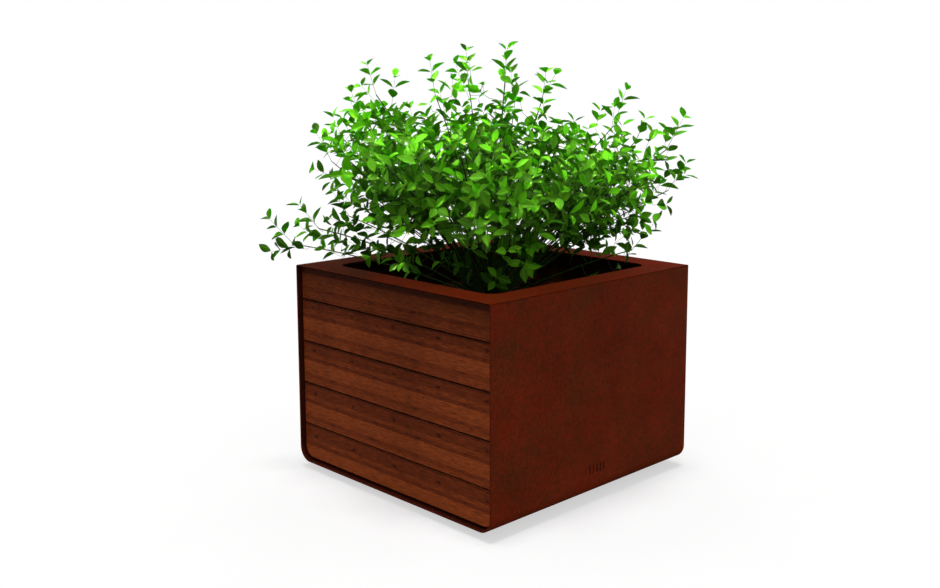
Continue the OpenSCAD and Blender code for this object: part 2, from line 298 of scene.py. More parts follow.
def bamboo_material():
    """Pressed bamboo: strips along X, each with its own tone, fibres and nodes in a regular repeat."""
    mat, shader = new_material("bamboo")
    wander = noise(mat, 1.0, 3, 0.55, (9, 9, 30))
    at = position(mat)
    x, z = at["X"], at["Z"]
    drift = swing(mat, wander, 0.035)
    down = over(mat, minus(mat, REPEAT_TOP + 5 * REPEAT_HIGH, z), REPEAT_HIGH)
    down = maths(mat, "FRACT", plus(mat, down, times(mat, drift, 0.5)))
    first = ramp(mat, down, *[(s[0], (s[1], s[2], s[3])) for s in STRIPS], constant=True)
    second = ramp(mat, down, *[(s[0], (s[4], s[5], s[6])) for s in STRIPS], constant=True)
    one = add(mat, "SeparateColor", {"Color": first}).outputs
    two = add(mat, "SeparateColor", {"Color": second}).outputs

    # How far a point is from its strip's nearest node, in node lengths and node heights
    along = over(mat, minus(mat, x, REPEAT_LEFT - REPEAT_LONG), REPEAT_LONG)
    along = minus(mat, along, one["Green"])
    along = plus(mat, maths(mat, "FRACT", plus(mat, along, 0.5)), drift)
    away_x = over(mat, minus(mat, along, 0.5), times(mat, two["Blue"], NODE_LENGTH))
    away_z = over(mat, minus(mat, down, two["Red"]), two["Green"])
    tail = times(mat, away_x, plus(mat, 1.0, maths(mat, "SIGN", away_x)))
    away_x = plus(mat, times(mat, away_x, 0.75), times(mat, tail, 0.9))
    away = plus(mat, times(mat, away_x, away_x), times(mat, away_z, away_z))
    away = maths(mat, "SQRT", away)

    fibres = noise(mat, 1.0, 5, 0.68, (30, 60, 230))
    bands = noise(mat, 1.0, 4, 0.6, (9, 9, 240))
    clouds = noise(mat, 1.0, 4, 0.6, (14, 12, 50), (3, 1, 2))
    smear = noise(mat, 1.0, 3, 0.6, (26, 60, 260), (5, 4, 9))

    tones = plus(mat, one["Red"], swing(mat, bands, 0.7))
    tones = plus(mat, tones, swing(mat, clouds, 0.4))
    ears = ramp(mat, away, (0.2, 0.0), (0.42, 1.0), (0.75, 0.6), (1.0, 0.0))
    plain = minus(mat, 1.0, one["Blue"])
    tones = plus(mat, tones, times(mat, times(mat, ears, plain), 0.22))
    colour = ramp(mat, tones, (0.0, BAMBOO_DARK), (0.42, BAMBOO_MIDDLE), (0.95, BAMBOO_LIGHT))
    spread = plus(mat, away, swing(mat, smear, 1.6))
    marks = times(mat, ramp(mat, spread, (0.0, 1.0), (0.45, 0.85), (1.0, 0.0)), one["Blue"])
    colour = mix(mat, times(mat, marks, 0.9), colour, BAMBOO_MARK)
    colour = tint(mat, colour, ramp(mat, fibres, (0.3, 0.45), (0.5, 1.0), (0.7, 1.54)))
    # Painted shade along the boards' top edges and the lowest board's foot, and a painted highlight along
    # their bottom edges.
    colour = tint(mat, colour, board_edge_painted_light(mat, z))
    coat(mat, shader, colour, ramp(mat, fibres, (0.3, 0.36), (0.7, 0.46)), 0.08)
    bump(mat, shader, fibres, 0.18, 0.3 * MM)
    return mat


def board_edge_painted_light(mat, z):
    """Painted shade and highlight at the boards' edges: a dark top edge that fades down the face, a
    painted highlight line at the bottom, and painted shade at the foot of the lowest board.
    """
    lowest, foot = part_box("front_board_1"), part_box("front_board_2")[0].z
    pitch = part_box("front_board_3")[0].z - foot
    gap = foot - lowest[1].z
    rise = maths(mat, "FRACT", over(mat, minus(mat, z, foot), pitch))
    edges = ramp(mat, rise, (0.0, 1.2), (8 * MM / pitch, 1.0), (1 - (gap + 9 * MM) / pitch, 1.0),
                 (1 - (gap + 4 * MM) / pitch, 0.66), (1 - (gap + MM) / pitch, 0.34))
    # Painted shade along the foot of the lowest board, by the shell's floor.
    low = over(mat, minus(mat, z, lowest[0].z), 4 * MM)
    return tint(mat, edges, ramp(mat, low, (0.0, 0.85), (1.0, 1.0)))


def leaf_material():
    """Waxy leaves: painted light and shade with a random tone by leaf, pale midrib and side veins, paler
    underneath, and light through them.
    """
    mat, shader = new_material("leaf_green")
    painted_light_and_tone = add(mat, "Attribute", attribute_name="painted_light_and_tone").outputs["Fac"]
    under = add(mat, "Attribute", attribute_name="under").outputs["Fac"]
    flat = add(mat, "SeparateXYZ", {"Vector": add(mat, "UVMap", uv_map="blade").outputs["UV"]})
    along, side = flat.outputs["X"], flat.outputs["Y"]
    off = maths(mat, "ABSOLUTE", minus(mat, side, 0.5))
    mottle = noise(mat, 55, 3, 0.6)
    # Painted light and shade: dark leaves deep in the crown and low down, light ones at its top and
    # outside.
    colour = ramp(mat, painted_light_and_tone, (0.0, (0.0115, 0.033, 0.0014)), (0.25, (0.032, 0.093, 0.0032)),
                  (0.45, (0.076, 0.234, 0.0072)), (0.62, (0.126, 0.432, 0.01)),
                  (0.8, (0.172, 0.68, 0.008)), (1.0, (0.214, 0.84, 0.012)))
    colour = tint(mat, colour, ramp(mat, mottle, (0.3, 0.75), (0.7, 1.2)), 0.3)
    rib = ramp(mat, off, (0.0, 0.45), (0.035, 0.2), (0.06, 0.0))
    slant = minus(mat, times(mat, along, 8.0), times(mat, off, 6.0))
    slant = minus(mat, maths(mat, "FRACT", slant), 0.5)
    veins = ramp(mat, maths(mat, "ABSOLUTE", slant), (0.0, 0.18), (0.09, 0.0))
    colour = mix(mat, rib, colour, LEAF_RIB)
    colour = mix(mat, veins, colour, LEAF_VEIN)
    colour = mix(mat, times(mat, under, 0.25), colour, LEAF_UNDER)
    coat(mat, shader, colour, ramp(mat, mottle, (0.3, 0.42), (0.7, 0.6)), 0.05)
    bump(mat, shader, plus(mat, veins, rib), 0.25, 0.3 * MM)
    through = add(mat, "BsdfTranslucent", {"Color": mix(mat, 0.5, colour, LEAF_GLOW)})
    both = add(mat, "MixShader", {0: 0.38, 1: shader.outputs["BSDF"], 2: through.outputs["BSDF"]})
    output = mat.node_tree.nodes["Material Output"]
    give(mat, output.inputs["Surface"], both.outputs["Shader"])
    return mat


def speckled(name, dark, light, scale, rough=(0.8, 0.95), shine=0.1, depth=0.6, stretch=(1, 1, 1)):
    """A plain surface with noise between two colours and fine grain."""
    mat, shader = new_material(name)
    broad = noise(mat, scale, 6, 0.6, stretch)
    fine = noise(mat, scale * 9, 4, 0.7, stretch, (5, 2, 1))
    colour = mix(mat, ramp(mat, broad, (0.33, 0.0), (0.68, 1.0)), dark, light)
    colour = tint(mat, colour, ramp(mat, fine, (0.3, 0.6), (0.7, 1.4)), 0.6)
    coat(mat, shader, colour, ramp(mat, fine, (0.3, rough[0]), (0.7, rough[1])), shine)
    bump(mat, shader, plus(mat, broad, fine), 0.4, depth * MM)
    return mat


def zinc_material():
    """Zinc-plated steel."""
    mat = speckled("zinc_plate", (0.3, 0.31, 0.32), (0.55, 0.56, 0.58), 60, (0.35, 0.55), 0.5, 0.1)
    mat.node_tree.nodes["Principled BSDF"].inputs["Metallic"].default_value = 1.0
    return mat


RUST_TONE = (0.066, 0.0088, 0.0018)
RUST = steel_material("rust_steel", RUST_TONE, 1.0, 0.028)
# A lighter copy of the steel with painted reflection and light on it: the rim's top as it is lit from
# above.
RUST_RIM_PAINTED_LIGHT = steel_material("rust_steel_rim_painted_light", (0.108, 0.0122, 0.0018), 0.5, 0.025, rim_painted_light)
# The steel with painted shade on the shell's floor beside the boards.
RUST_FLOOR_PAINTED_SHADE = steel_material("rust_steel_floor_painted_shade", RUST_TONE, 1.0, 0.028, floor_painted_shade)
# A darker copy of the steel: painted shade on the walls' inner faces, the end panels and the rim's cut
# edges.
RUST_PAINTED_SHADE = steel_material("rust_steel_painted_shade", (0.024, 0.004, 0.0012))
BAMBOO = bamboo_material()
LINER = speckled("liner_brown", (0.024, 0.0085, 0.0012), (0.04, 0.014, 0.0018), 14, shine=0.02, depth=0.1)
BLACK_METAL = speckled("black_powder_coat", (0.008, 0.0065, 0.0055), (0.014, 0.0115, 0.0095),
                       90, (0.6, 0.8), 0.2, 0.1)
BLACK_PLASTIC = speckled("black_plastic", (0.01, 0.01, 0.01), (0.018, 0.018, 0.018),
                         120, (0.5, 0.65), 0.3, 0.1)
ZINC = zinc_material()
GRAVEL = speckled("clay_gravel", (0.16, 0.1, 0.07), (0.34, 0.25, 0.19), 70)
FLEECE = speckled("white_fleece", (0.5, 0.5, 0.48), (0.66, 0.66, 0.64), 220, (0.9, 1.0), 0.05, 0.3)
SOIL = speckled("dark_soil", (0.008, 0.0032, 0.001), (0.026, 0.011, 0.004), 45, (0.9, 1.0), 0.02, 2.0)
ROOTS = speckled("root_mat", (0.012, 0.007, 0.0035), (0.036, 0.022, 0.012),
                 40, shine=0.04, stretch=(1, 1, 0.3))
BARK = speckled("bark_chips", (0.01, 0.0045, 0.0022), (0.034, 0.016, 0.008),
                60, shine=0.04, stretch=(1, 1, 2.5))
STEM = speckled("dark_stem", (0.008, 0.022, 0.0018), (0.026, 0.07, 0.0055), 80, (0.5, 0.7), 0.08, 0.2)
TWIG = speckled("green_twig", (0.016, 0.034, 0.007), (0.04, 0.085, 0.017), 120, (0.5, 0.7), 0.12, 0.1)
LEAF = leaf_material()
MARK = speckled("mark_enamel", (0.004, 0.0015, 0.001), (0.007, 0.003, 0.002), 200, (0.5, 0.6), 0.1, 0.05)


# -------------------- piece helpers

# Groups of pieces that have lamps of their own
LIT = {"boards": [], "shell": [], "rim": [], "floor": [], "shrub": []}
BOX_FACES = [(0, 1, 3, 2), (4, 6, 7, 5), (0, 4, 5, 1), (2, 3, 7, 6), (0, 2, 6, 4), (1, 5, 7, 3)]


def in_scene(name, data):
    """A new object of the scene with this mesh, lamp or camera."""
    item = bpy.data.objects.new(name, data)
    bpy.context.scene.collection.objects.link(item)
    return item


def from_lists(name, verts, faces, material):
    """A piece with these points and faces."""
    mesh = bpy.data.meshes.new(name)
    mesh.from_pydata([tuple(v) for v in verts], [], faces)
    mesh.update(calc_edges=True)
    mesh.materials.append(material)
    return in_scene(name, mesh)


@contextmanager
def editing(mesh):
    """The mesh as a bmesh, which is written back to it at the end."""
    edit = bmesh.new()
    edit.from_mesh(mesh)
    yield edit
    edit.to_mesh(mesh)
    edit.free()


def soften(piece, angle=30.0):
    """Smooth shading that keeps edges over the angle sharp, with normals weighted by face area."""
    mesh = piece.data
    mesh.polygons.foreach_set("use_smooth", [True] * len(mesh.polygons))
    with editing(mesh) as edit:
        for edge in edit.edges:
            edge.smooth = len(edge.link_faces) == 2 and edge.calc_face_angle() < math.radians(angle)
    weighted = piece.modifiers.new("even_normals", "WEIGHTED_NORMAL")
    weighted.keep_sharp = True


def face_outward(piece):
    """Turns every face of the mesh to look outward."""
    with editing(piece.data) as edit:
        bmesh.ops.recalc_face_normals(edit, faces=edit.faces)


def round_edges(piece, width, segments, pick):
    """Rounds the edges of the mesh that pick(edge) chooses."""
    face_outward(piece)
    with editing(piece.data) as edit:
        chosen = [e for e in edit.edges if len(e.link_faces) == 2 and pick(e)]
        bmesh.ops.bevel(edit, geom=chosen, offset=width, segments=segments, profile=0.5,
                        affect="EDGES", clamp_overlap=True)


def sharp(edge):
    return edge.calc_face_angle(0.0) > math.radians(30)


def belongs(piece, replaced=None, lit=None):
    """What the frame wants to know of a new piece of the planter body, and its lamps' group."""
    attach(piece, "planter")
    if replaced:
        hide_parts(replaced)
    if lit:
        LIT[lit].append(piece)


def cut(piece, cutters):
    """Takes the cutters out of the piece, and keeps the result as its mesh."""
    for tool in cutters:
        step = piece.modifiers.new("cut", "BOOLEAN")
        step.operation = "DIFFERENCE"
        step.solver = "EXACT"
        step.object = tool
    bpy.context.view_layer.update()
    done = bpy.data.meshes.new_from_object(piece.evaluated_get(bpy.context.evaluated_depsgraph_get()))
    piece.modifiers.clear()
    piece.data = done
    for tool in cutters:
        bpy.data.objects.remove(tool)


def drill(x, y, z_low, z_high, radius):
    """A cutter: an upright cylinder."""
    mesh = bpy.data.meshes.new("drill")
    with editing(mesh) as edit:
        bmesh.ops.create_cone(edit, cap_ends=True, segments=32, radius1=radius, radius2=radius,
                              depth=z_high - z_low)
        bmesh.ops.translate(edit, vec=(x, y, (z_low + z_high) / 2), verts=edit.verts)
    return in_scene("drill", mesh)


def box_corners(low, high):
    """The eight corners of a cuboid, in the order that BOX_FACES counts on."""
    (x0, y0, z0), (x1, y1, z1) = low, high
    return [(x, y, z) for x in (x0, x1) for y in (y0, y1) for z in (z0, z1)]


def block(name, low, high, material):
    """A cuboid between two corners."""
    return from_lists(name, box_corners(low, high), BOX_FACES, material)


def cap(first, count):
    """The face of count points from the first one on."""
    return tuple(range(first, first + count))


def between(a, b, count):
    """The faces between two rings of count points, the first points of which are a and b."""
    return [(a + k, b + k, b + (k + 1) % count, a + (k + 1) % count) for k in range(count)]


def arc(centre, radius, start, end, steps):
    """Points on an arc between two angles in degrees, both ends included."""
    turns = [math.radians(start + (end - start) * i / steps) for i in range(steps + 1)]
    return [(centre[0] + radius * math.cos(t), centre[1] + radius * math.sin(t)) for t in turns]


# -------------------- steel shell and rim

MARK_Z = SHELL_LO.z + 84 * MM
MARK_PITCH, MARK_WIDTH, MARK_HEIGHT, MARK_DEPTH = 16 * MM, 5 * MM, 26 * MM, 1 * MM
MARK_PLACES = [(i - 2) * MARK_PITCH for i in range(5)]
# Gap round a bar in its slot, and the depth of its face under the shell's
MARK_GAP, MARK_SUNK = 0.1 * MM, 0.3 * MM


def make_shell():
    """The folded plate: a U that runs front to back, with holes in its floor and slots in one side."""
    steps = 14
    low, top = SHELL_LO.z, SHELL_HI.z
    outer, inner = [(-HALF, top)], [(-HALF + PLATE, top)]
    for side, start, end in ((-1, 180, 270), (1, 270, 360)):
        centre = (side * (HALF - BEND_R), low + BEND_R)
        outer += arc(centre, BEND_R, start, end, steps)
        inner += arc(centre, BEND_R - PLATE, start, end, steps)
    outer.append((HALF, top))
    inner.append((HALF - PLATE, top))
    verts, faces = [], []
    for (xo, zo), (xi, zi) in zip(outer, inner):
        verts += [(xo, -HALF, zo), (xi, -HALF, zi), (xi, HALF, zi), (xo, HALF, zo)]
    last = len(outer) - 1
    for i in range(last):
        faces += between(4 * i, 4 * i + 4, 4)
    faces += [cap(0, 4)[::-1], cap(4 * last, 4)]
    shell = from_lists("shell_plate", verts, faces, RUST)
    for extra in (RUST_PAINTED_SHADE, RUST_FLOOR_PAINTED_SHADE):
        shell.data.materials.append(extra)
    # The upright walls' inner faces get the darker steel as painted shade, and the bends and floor the
    # steel with painted shade on it.
    for i in range(last):
        shell.data.polygons[4 * i + 1].material_index = 1 if i in (0, last - 1) else 2

    def at_end(edge):
        return sharp(edge) and all(abs(abs(v.co.y) - HALF) < MM for v in edge.verts)

    round_edges(shell, 0.9 * MM, 2, at_end)
    below, above = SHELL_LO.z - MM, SHELL_LO.z + PLATE + MM
    cutters = []
    for number in range(1, 5):
        lo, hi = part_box(f"foot_pad_{number}")
        cutters.append(drill((lo.x + hi.x) / 2, (lo.y + hi.y) / 2, below, above, SPINDLE_HOLE_R))
    for x in (-ANCHOR_X, ANCHOR_X):
        cutters += [drill(x, y, below, above, ANCHOR_HOLE_R) for y in (-ANCHOR_Y, ANCHOR_Y)]
    cutters += [drill(0, y, below, above, SPOUT_HOLE_R) for y in (-SPOUT_Y, SPOUT_Y)]
    for y in MARK_PLACES:
        cutters.append(block("slot", (HALF - MARK_DEPTH, y - MARK_WIDTH / 2, MARK_Z - MARK_HEIGHT / 2),
                             (HALF + MM, y + MARK_WIDTH / 2, MARK_Z + MARK_HEIGHT / 2), RUST))
    cut(shell, cutters)
    soften(shell)
    belongs(shell, "shell", "shell")


def make_mark():
    """A plain row of upright dark bars in the shell's slots, with no lettering."""
    verts, faces = [], []
    wide, high = MARK_WIDTH / 2 - MARK_GAP, MARK_HEIGHT / 2 - MARK_GAP
    for y in MARK_PLACES:
        faces += [tuple(len(verts) + k for k in face) for face in BOX_FACES]
        verts += box_corners((HALF - MARK_DEPTH, y - wide, MARK_Z - high),
                             (HALF - MARK_SUNK, y + wide, MARK_Z + high))
    mark = from_lists("side_mark", verts, faces, MARK)
    round_edges(mark, 0.2 * MM, 2, sharp)
    soften(mark)
    belongs(mark)


def round_square_path(half, radius, steps):
    """Points round a square with round corners, anticlockwise."""
    reach = half - radius
    path = []
    for (sx, sy), start in (((1, 1), 0), ((-1, 1), 90), ((-1, -1), 180), ((1, -1), 270)):
        path += arc((sx * reach, sy * reach), radius, start, start + 90, steps)
    return path


def make_rim():
    """The flat rim plate with its round-cornered opening and softened edges."""
    steps = 12
    outer = round_square_path(HALF, 2.5 * MM, steps)
    inner = round_square_path(OPENING, OPENING_R, steps)
    verts, faces = [], []
    for (xo, yo), (xi, yi) in zip(outer, inner):
        verts += [(xo, yo, RIM_LO.z), (xi, yi, RIM_LO.z), (xi, yi, RIM_HI.z), (xo, yo, RIM_HI.z)]
    for i in range(len(outer)):
        faces += between(4 * i, 4 * ((i + 1) % len(outer)), 4)
    rim = from_lists("rim_plate", verts, faces, RUST_RIM_PAINTED_LIGHT)
    rim.data.materials.append(RUST_PAINTED_SHADE)
    # The rim's front and back cut edges get the darker steel, as painted shade.
    for face in rim.data.polygons:
        if abs(face.normal.y) > 0.9 and abs(face.center.y) > OPENING + MM:
            face.material_index = 1

    def on_top(edge):
        return sharp(edge) and all(v.co.z > RIM_HI.z - MM / 2 for v in edge.verts)

    round_edges(rim, 0.8 * MM, 3, on_top)
    soften(rim)
    belongs(rim, "top_rim", "rim")


# -------------------- boards

def make_board(side, number):
    """One board with rounded edges. The lowest one's lower corners follow the shell's bend."""
    node = f"{side}_board_{number}"
    lo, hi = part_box(node)
    outline = [(lo.x, hi.z)]
    if number == 1:
        for x, start in ((lo.x + BOARD_BEND_R, 180), (hi.x - BOARD_BEND_R, 270)):
            outline += arc((x, lo.z + BOARD_BEND_R), BOARD_BEND_R, start, start + 90, 14)
    else:
        outline += [(lo.x, lo.z), (hi.x, lo.z)]
    outline.append((hi.x, hi.z))
    count = len(outline)
    verts = [(x, y, z) for y in (lo.y, hi.y) for x, z in outline]
    faces = [cap(0, count), cap(count, count)[::-1]] + between(0, count, count)
    board = from_lists(f"{side}_board_{number}_bamboo", verts, faces, BAMBOO)
    round_edges(board, 0.7 * MM, 2, sharp)
    soften(board)
    belongs(board, node, "boards")


# -------------------- filling

def grid_points(steps, half):
    """Points of a square grid that fills the liner, with its corners drawn in to their radius."""
    reach, points = half - FILL_CORNER_R, []
    lines = [half * (2 * i / steps - 1) for i in range(steps + 1)]
    for x, y in [(x, y) for x in lines for y in lines]:
        dx, dy = abs(x) - reach, abs(y) - reach
        far = math.hypot(dx, dy)
        if dx > 0 and dy > 0 and far > FILL_CORNER_R:
            x = math.copysign(reach + dx * FILL_CORNER_R / far, x)
            y = math.copysign(reach + dy * FILL_CORNER_R / far, y)
        points.append((x, y))
    return points


def grid_faces(steps):
    """The faces of a square grid, seen from above."""
    row = steps + 1
    corners = [i * row + j for i in range(steps) for j in range(steps)]
    return [(k, k + row, k + row + 1, k + 1) for k in corners]


def grid_outline(steps):
    """A square grid's outermost points, in order round it."""
    row = steps + 1
    edge = [i * row for i in range(row)] + [steps * row + j for j in range(1, row)]
    return edge + [i * row + steps for i in range(steps - 1, -1, -1)] + list(range(steps - 1, 0, -1))


def make_soil():
    """The soil: a block with round corners whose top is uneven and rises to the stems."""
    steps = 72
    rng = np.random.default_rng(11)
    waves = [(rng.uniform(6, 60), rng.uniform(6, 60), rng.uniform(0, 6.28)) for _ in range(26)]

    def ground(x, y):
        rough = sum(math.sin(a * x + b * y + c) / (8 + 0.35 * (a + b)) for a, b, c in waves)
        mound = math.exp(-((x * x + y * y) / 0.16 ** 2))
        return SOIL_HI.z + (2.2 * rough + 7 * mound - 1.5) * MM

    verts = [(x, y, ground(x, y)) for x, y in grid_points(steps, SOIL_HI.x)]
    faces = grid_faces(steps)
    edge = grid_outline(steps)
    base = len(verts)
    verts += [(verts[k][0], verts[k][1], SOIL_LO.z) for k in edge]
    count = len(edge)
    faces += [(edge[(k + 1) % count], edge[k], base + k, base + (k + 1) % count) for k in range(count)]
    faces.append(cap(base, count)[::-1])
    soil = from_lists("soil_bed", verts, faces, SOIL)
    face_outward(soil)
    soften(soil, 50)
    belongs(soil, "soil")
    return ground


def make_chips(ground):
    """Bark chips strewn over the soil."""
    rng = random.Random(23)
    verts, faces = [], []
    shape = [(sx, sy, sz) for sx in (-1, 0, 1) for sy in (-1, 1) for sz in (-1, 1)]
    walls = [(0, 1, 5, 4), (4, 5, 9, 8), (2, 6, 7, 3), (6, 10, 11, 7), (0, 4, 6, 2), (4, 8, 10, 6),
             (1, 3, 7, 5), (5, 7, 11, 9), (0, 2, 3, 1), (8, 9, 11, 10)]
    reach = SOIL_HI.x - 30 * MM
    for _ in range(420):
        x, y = rng.uniform(-reach, reach), rng.uniform(-reach, reach)
        if math.hypot(x, y) < COLLAR_HI.x + 5 * MM:
            continue
        long, wide, thick = rng.uniform(8, 24) * MM, rng.uniform(4, 10) * MM, rng.uniform(1.5, 4) * MM
        turn, tip = rng.uniform(0, math.tau), rng.uniform(-0.25, 0.25)
        start = len(verts)
        for sx, sy, sz in shape:
            bulge = 1.25 if sx == 0 else 0.8
            px = sx * long * rng.uniform(0.8, 1.1)
            py = sy * wide * bulge * rng.uniform(0.7, 1.1)
            pz = sz * thick * rng.uniform(0.6, 1.1) + tip * px
            verts.append((x + px * math.cos(turn) - py * math.sin(turn),
                          y + px * math.sin(turn) + py * math.cos(turn),
                          ground(x, y) + thick * 0.6 + pz))
        faces += [tuple(start + k for k in w) for w in walls]
    chips = from_lists("bark_mulch", verts, faces, BARK)
    round_edges(chips, 0.8 * MM, 1, sharp)
    soften(chips, 40)
    belongs(chips)


def make_fleece():
    """The filter fleece, laid flat on the gravel under the soil."""
    steps = 40
    rng = np.random.default_rng(5)
    half, thick = FLEECE_HI.x, FLEECE_HI.z - FLEECE_LO.z
    points = grid_points(steps, half)
    ripple = rng.uniform(0, 0.25 * thick, len(points))
    verts, faces = [], []
    for base in (FLEECE_LO.z + 0.1 * thick, FLEECE_LO.z + 0.7 * thick):
        verts += [(x, y, base + wave) for (x, y), wave in zip(points, ripple)]
    layer = len(points)
    for quad in grid_faces(steps):
        faces += [quad[::-1], tuple(layer + k for k in quad)]
    edge = grid_outline(steps)
    faces += [(a, b, layer + b, layer + a) for a, b in zip(edge, edge[1:] + edge[:1])]
    fleece = from_lists("fleece_sheet", verts, faces, FLEECE)
    face_outward(fleece)
    soften(fleece)
    belongs(fleece, "filter_fleece")


# -------------------- shrub

# Tips of the tall and outer shoots, as (across the view, away from the camera, height above the floor)
LEADERS = [
    (-0.4, 0.05, 1.315), (-0.19, -0.1, 1.325), (-0.085, 0.12, 1.36), (0.045, 0.0, 1.362),
    (0.165, -0.12, 1.29), (0.275, 0.2, 1.13), (0.43, 0.05, 1.235), (0.6, -0.05, 1.15),
    (0.63, 0.06, 1.0), (0.56, 0.18, 0.92), (0.5, -0.15, 0.83), (-0.55, -0.05, 1.1),
    (-0.47, 0.15, 1.2), (-0.72, 0.02, 0.82), (-0.6, -0.1, 0.88), (-0.43, -0.12, 1.23),
    (0.37, -0.28, 1.08), (-0.3, -0.38, 1.08), (0.05, -0.45, 1.05), (-0.05, 0.5, 1.1),
    (0.3, 0.45, 1.02), (-0.38, 0.42, 1.0), (0.08, 0.25, 1.27), (0.5, 0.1, 1.14),
]
TOP_SHOOTS, SKIRT_SHOOTS, LOW_SHOOTS = 50, 15, 10
SHOOTS_PER_SPRAY, GOLDEN_TURN = 15, 2.39996
CROWN_R, CROWN_TOP, CROWN_FALL, CROWN_TILT = 0.55, 1.18, 0.1, 0.12
LEAF_LONG, LEAF_WIDE, LEAF_THICK = 53 * MM, 29 * MM, 0.5 * MM
# Stations of a leaf between its foot and its tip: (place along, half width)
LEAF_STATIONS = [(0.07, 0.12), (0.21, 0.6), (0.39, 0.95), (0.57, 0.98), (0.76, 0.71), (0.9, 0.33)]
LEAF_TURN = math.radians(25)
PAIR_STEP = 33 * MM


def tube(verts, faces, points, radii, sides):
    """Adds a tube along the points, closed at both ends, to the lists."""
    start = len(verts)
    ahead = (points[-1] - points[0]).normalized()
    side = ahead.cross(Vector((0.3, 0.2, 1)) if abs(ahead.z) < 0.9 else Vector((1, 0.2, 0))).normalized()
    for i, (point, radius) in enumerate(zip(points, radii)):
        before, after = points[max(i - 1, 0)], points[min(i + 1, len(points) - 1)]
        ahead = (after - before).normalized()
        side = (side - ahead * side.dot(ahead)).normalized()
        other = ahead.cross(side)
        for k in range(sides):
            turn = math.tau * k / sides
            verts.append(point + radius * (math.cos(turn) * side + math.sin(turn) * other))
    for i in range(len(points) - 1):
        for k in range(sides):
            a, b = start + i * sides + k, start + i * sides + (k + 1) % sides
            faces.append((a, b, b + sides, a + sides))
    faces += [cap(start, sides)[::-1], cap(start + (len(points) - 1) * sides, sides)]


def has_room(point):
    """True where a leaf may be: inside the CAD box, off the rim and off the soil."""
    out = max(abs(point.x), abs(point.y))
    if out > CAD_BOX[1].x or point.z > CAD_BOX[1].z or point.z < SOIL_HI.z + 15 * MM:
        return False
    return point.z > RIM_HI.z + 6 * MM or out < OPENING - 10 * MM


class Leaves:
    """Collects leaves into one mesh: folded blades with a top and an underside."""

    def __init__(self):
        self.verts, self.faces, self.tones, self.under, self.blade = [], [], [], [], []
        self.sharp_pairs = set()

    def add(self, foot, ahead, face_up, long, wide, fold, droop, painted_light_and_tone):
        """Adds a leaf. At each station it has four points: midrib, left, right and underside."""
        side = ahead.cross(face_up).normalized()
        up = side.cross(ahead).normalized()
        start = len(self.verts)
        points, marks = [foot], [(0, 0.5, 0)]
        for along, half in LEAF_STATIONS:
            spine = foot + ahead * (along * long) - up * (droop * long * along * along)
            out = side * (half * wide / 2 * math.cos(fold))
            lift = up * (half * wide / 2 * math.sin(fold))
            low = spine - up * (LEAF_THICK * max(half, 0.4))
            points += [spine, spine - out + lift, spine + out + lift, low]
            marks += [(along, across, under) for across, under in
                      ((0.5, 0), (0.5 - half / 2, 0.5), (0.5 + half / 2, 0.5), (0.5, 1))]
        points.append(foot + ahead * long - up * (droop * long))
        marks.append((1, 0.5, 0))
        if not all(has_room(point) for point in points):
            return
        self.verts += points
        self.tones += [painted_light_and_tone] * len(points)
        self.under += [m[2] for m in marks]
        self.blade += [(m[0], m[1]) for m in marks]
        tip = start + len(points) - 1
        stations = len(LEAF_STATIONS)
        for i in range(stations + 1):
            here, there = start + 4 * i - 3, start + 4 * i + 1
            if i == 0:
                mid, left, right, low = range(there, there + 4)
                self.faces += [(start, mid, left), (start, right, mid)]
                self.faces += [(start, left, low), (start, low, right)]
                self.sharp_pairs |= {(start, left), (start, right)}
            elif i == stations:
                mid, left, right, low = range(here, here + 4)
                self.faces += [(mid, tip, left), (right, tip, mid), (left, tip, low), (low, tip, right)]
                self.sharp_pairs |= {(left, tip), (right, tip)}
            else:
                for a, b in ((0, 1), (2, 0), (1, 3), (3, 2)):
                    self.faces.append((here + a, there + a, there + b, here + b))
                self.sharp_pairs |= {(here + k, there + k) for k in range(4)}

    def build(self, name, material):
        """The piece, with what the material wants to know of each leaf."""
        piece = from_lists(name, self.verts, self.faces, material)
        mesh = piece.data
        mesh.polygons.foreach_set("use_smooth", [True] * len(mesh.polygons))
        # Each leaf's painted light and shade, with its random tone, goes to the material as a point
        # attribute.
        for what, values in (("painted_light_and_tone", self.tones), ("under", self.under)):
            mesh.attributes.new(what, "FLOAT", "POINT").data.foreach_set("value", values)
        layer = mesh.uv_layers.new(name="blade")
        corners = np.zeros(len(mesh.loops), int)
        mesh.loops.foreach_get("vertex_index", corners)
        layer.data.foreach_set("uv", np.array(self.blade)[corners].ravel())
        is_sharp = [tuple(sorted(e.vertices)) in self.sharp_pairs for e in mesh.edges]
        mesh.attributes.new("sharp_edge", "BOOLEAN", "EDGE").data.foreach_set("value", is_sharp)
        return piece


def on_curve(foot, bend, tip, t):
    """The point and the direction at t on the curve from foot to tip that bend pulls."""
    point = foot * (1 - t) ** 2 + bend * (2 * t * (1 - t)) + tip * t ** 2
    return point, ((bend - foot) * (1 - t) + (tip - bend) * t).normalized()


def any_way(rng):
    return Vector([rng.gauss(0, 1) for _ in range(3)]).normalized()


def beside(ahead, turn):
    """A direction square to ahead, turned about it."""
    side = ahead.cross(UP if abs(ahead.z) < 0.95 else ACROSS).normalized()
    return side * math.cos(turn) + ahead.cross(side) * math.sin(turn)


def leaf_painted_light_and_tone(rng, point):
    """Painted light and shade: leaves are lighter at the top and outside of the crown and darker deep
    inside it, with a random tone of their own.
    """
    height = (point.z - SOIL_HI.z) / (CAD_BOX[1].z - SOIL_HI.z)
    spread = math.hypot(point.x, point.y) / CROWN_R
    return min(1.0, max(0.0, height + 0.22 * (spread - 0.6) + rng.gauss(0, 0.22)))


